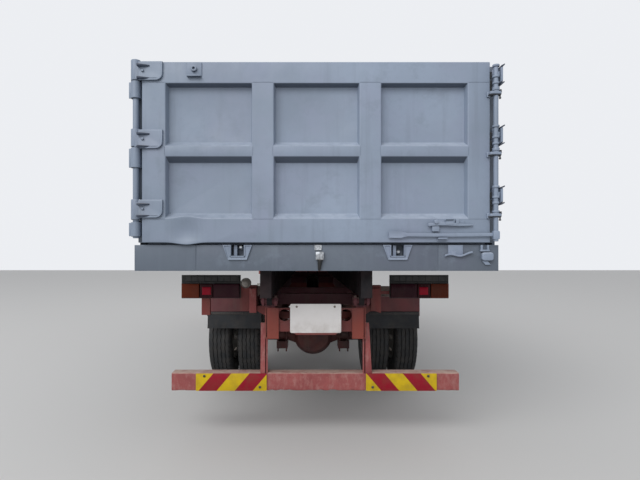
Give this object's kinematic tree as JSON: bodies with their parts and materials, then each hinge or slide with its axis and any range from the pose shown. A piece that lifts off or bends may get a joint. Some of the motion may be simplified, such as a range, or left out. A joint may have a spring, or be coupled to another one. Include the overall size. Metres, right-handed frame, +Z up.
{
  "type": "dump truck",
  "caption": "Rigid dump truck with high pressed walls, a side-hung tailgate on a pipe hinge with a cam lock rod, a tipping bed on an under-body cylinder and a hollow cab.",
  "frame": {"origin": "on the ground under the middle of the truck's bounding box", "axes": "+Y the way the truck drives, +X its right side, +Z up"},
  "size_m": [2.77, 8.88, 2.8498],
  "materials": {
    "body_paint": "matt primer, dusty",
    "frame_paint": "faded red-brown chassis paint",
    "bar_paint": "worn red paint",
    "marker_sheet": "reflective sheet with red bands",
    "black_plastic": "moulded, dusty",
    "lamp_lens": "moulded lens",
    "plate_white": "enamelled sheet",
    "flap_rubber": "moulded sheet",
    "axle_iron": "cast and forged, dusty",
    "tank_metal": "satin",
    "guard_paint": "galvanised and painted",
    "cab_paint": "gloss enamel",
    "window_glass": "tinted safety glass",
    "cab_trim": "grained",
    "lamp_glass": "clear",
    "rod_chrome": "hard chrome",
    "tyre_rubber": "road tyre",
    "rim_paint": "painted disc wheel"
  },
  "bodies": {
    "chassis": {"frame": "frame_paint", "subframe": "frame_paint", "underrun_bar": "bar_paint", "marker_plates": "marker_sheet", "rear_lamp_housings": "black_plastic", "rear_lamp_lenses": "lamp_lens", "number_plate": "plate_white", "rear_fenders": "black_plastic", "mudflaps": "flap_rubber", "front_axle": "axle_iron", "rear_axle": "axle_iron", "leaf_springs": "axle_iron", "driveline": "axle_iron", "fuel_tank": "tank_metal", "battery_box": "black_plastic", "air_tanks": "frame_paint", "silencer": "axle_iron", "side_guards": "guard_paint", "cab_shell": "cab_paint", "cab_glass": "window_glass", "cab_interior": "cab_trim", "grille": "black_plastic", "front_bumper": "cab_paint", "headlamps": "lamp_glass", "mirrors": "black_plastic"},
    "bed": {"bed_floor": "body_paint", "bed_front": "body_paint", "bed_rear_frame": "body_paint", "bed_side_left": "body_paint", "bed_side_right": "body_paint"},
    "gate": {"gate_panel": "body_paint", "gate_fittings": "body_paint"},
    "gate_lock": {"lock_rod": "body_paint"},
    "hoist_cylinder": {"hoist_barrel": "frame_paint"},
    "hoist_piston": {"hoist_rod": "rod_chrome"},
    "steering_rod": {"tie_rod": "axle_iron"},
    "cab_door_left": {"door_left": "cab_paint", "door_glass_left": "window_glass"},
    "steering_left": {"knuckle_left": "axle_iron"},
    "front_wheel_left": {"front_tyre_left": "tyre_rubber", "front_rim_left": "rim_paint"},
    "rear_wheel_left": {"rear_tyre_outer_left": "tyre_rubber", "rear_tyre_inner_left": "tyre_rubber", "rear_rims_left": "rim_paint"},
    "cab_door_right": {"door_right": "cab_paint", "door_glass_right": "window_glass"},
    "steering_right": {"knuckle_right": "axle_iron"},
    "front_wheel_right": {"front_tyre_right": "tyre_rubber", "front_rim_right": "rim_paint"},
    "rear_wheel_right": {"rear_tyre_outer_right": "tyre_rubber", "rear_tyre_inner_right": "tyre_rubber", "rear_rims_right": "rim_paint"}
  },
  "joints": [
    {"name": "rear_wheel_left_turn", "type": "hinge", "parent": "chassis", "child": "rear_wheel_left", "pos_m": [-0.9235, -1.64, 0.522], "axis": [-1, 0, 0], "continuous": true},
    {"name": "rear_wheel_right_turn", "type": "hinge", "parent": "chassis", "child": "rear_wheel_right", "pos_m": [0.9235, -1.64, 0.522], "axis": [-1, 0, 0], "continuous": true},
    {"name": "steer_left", "type": "hinge", "parent": "chassis", "child": "steering_left", "pos_m": [-0.86, 3.21, 0.522], "axis": [0, 0, 1], "range_deg": [-36, 36]},
    {"name": "steer_right", "type": "hinge", "parent": "chassis", "child": "steering_right", "pos_m": [0.86, 3.21, 0.522], "axis": [0, 0, 1], "range_deg": [-36, 36]},
    {"name": "front_wheel_left_turn", "type": "hinge", "parent": "steering_left", "child": "front_wheel_left", "pos_m": [-0.98, 3.21, 0.522], "axis": [-1, 0, 0], "continuous": true},
    {"name": "front_wheel_right_turn", "type": "hinge", "parent": "steering_right", "child": "front_wheel_right", "pos_m": [0.98, 3.21, 0.522], "axis": [-1, 0, 0], "continuous": true},
    {"name": "tie_rod_pivot", "type": "hinge", "parent": "steering_left", "child": "steering_rod", "pos_m": [-0.86, 3.03, 0.397], "axis": [0, 0, 1], "range_deg": [-37, 37]},
    {"name": "door_left_swing", "type": "hinge", "parent": "chassis", "child": "cab_door_left", "pos_m": [-1.15, 3.956, 1.5], "axis": [0, 0, -1], "range_deg": [0, 70]},
    {"name": "door_right_swing", "type": "hinge", "parent": "chassis", "child": "cab_door_right", "pos_m": [1.15, 3.956, 1.5], "axis": [0, 0, 1], "range_deg": [0, 70]},
    {"name": "bed_tip", "type": "hinge", "parent": "chassis", "child": "bed", "pos_m": [0, -3.89, 1.158], "axis": [1, 0, 0], "range_deg": [0, 50]},
    {"name": "gate_swing", "type": "hinge", "parent": "bed", "child": "gate", "pos_m": [-1.238, -4.35, 2.2], "axis": [0, 0, -1], "range_deg": [0, 200]},
    {"name": "lock_turn", "type": "hinge", "parent": "gate", "child": "gate_lock", "pos_m": [1.207, -4.41, 2.2], "axis": [0, 0, 1], "range_deg": [0, 90]},
    {"name": "hoist_lean", "type": "hinge", "parent": "chassis", "child": "hoist_cylinder", "pos_m": [0, -2.59, 0.858], "axis": [1, 0, 0], "range_deg": [0, 66.2]},
    {"name": "hoist_reach", "type": "slide", "parent": "hoist_cylinder", "child": "hoist_piston", "axis": [0, 0.9769, 0.2137], "range_m": [0, 0.97]}
  ],
  "couplings": [
    {"joint": "steer_right", "follows": "steer_left", "ratio": 1},
    {"joint": "tie_rod_pivot", "follows": "steer_left", "ratio": -1},
    {"joint": "hoist_lean", "follows": "bed_tip", "ratio": 1.3205},
    {"joint": "hoist_reach", "follows": "bed_tip", "m_per_rad": 1.1108}
  ]
}
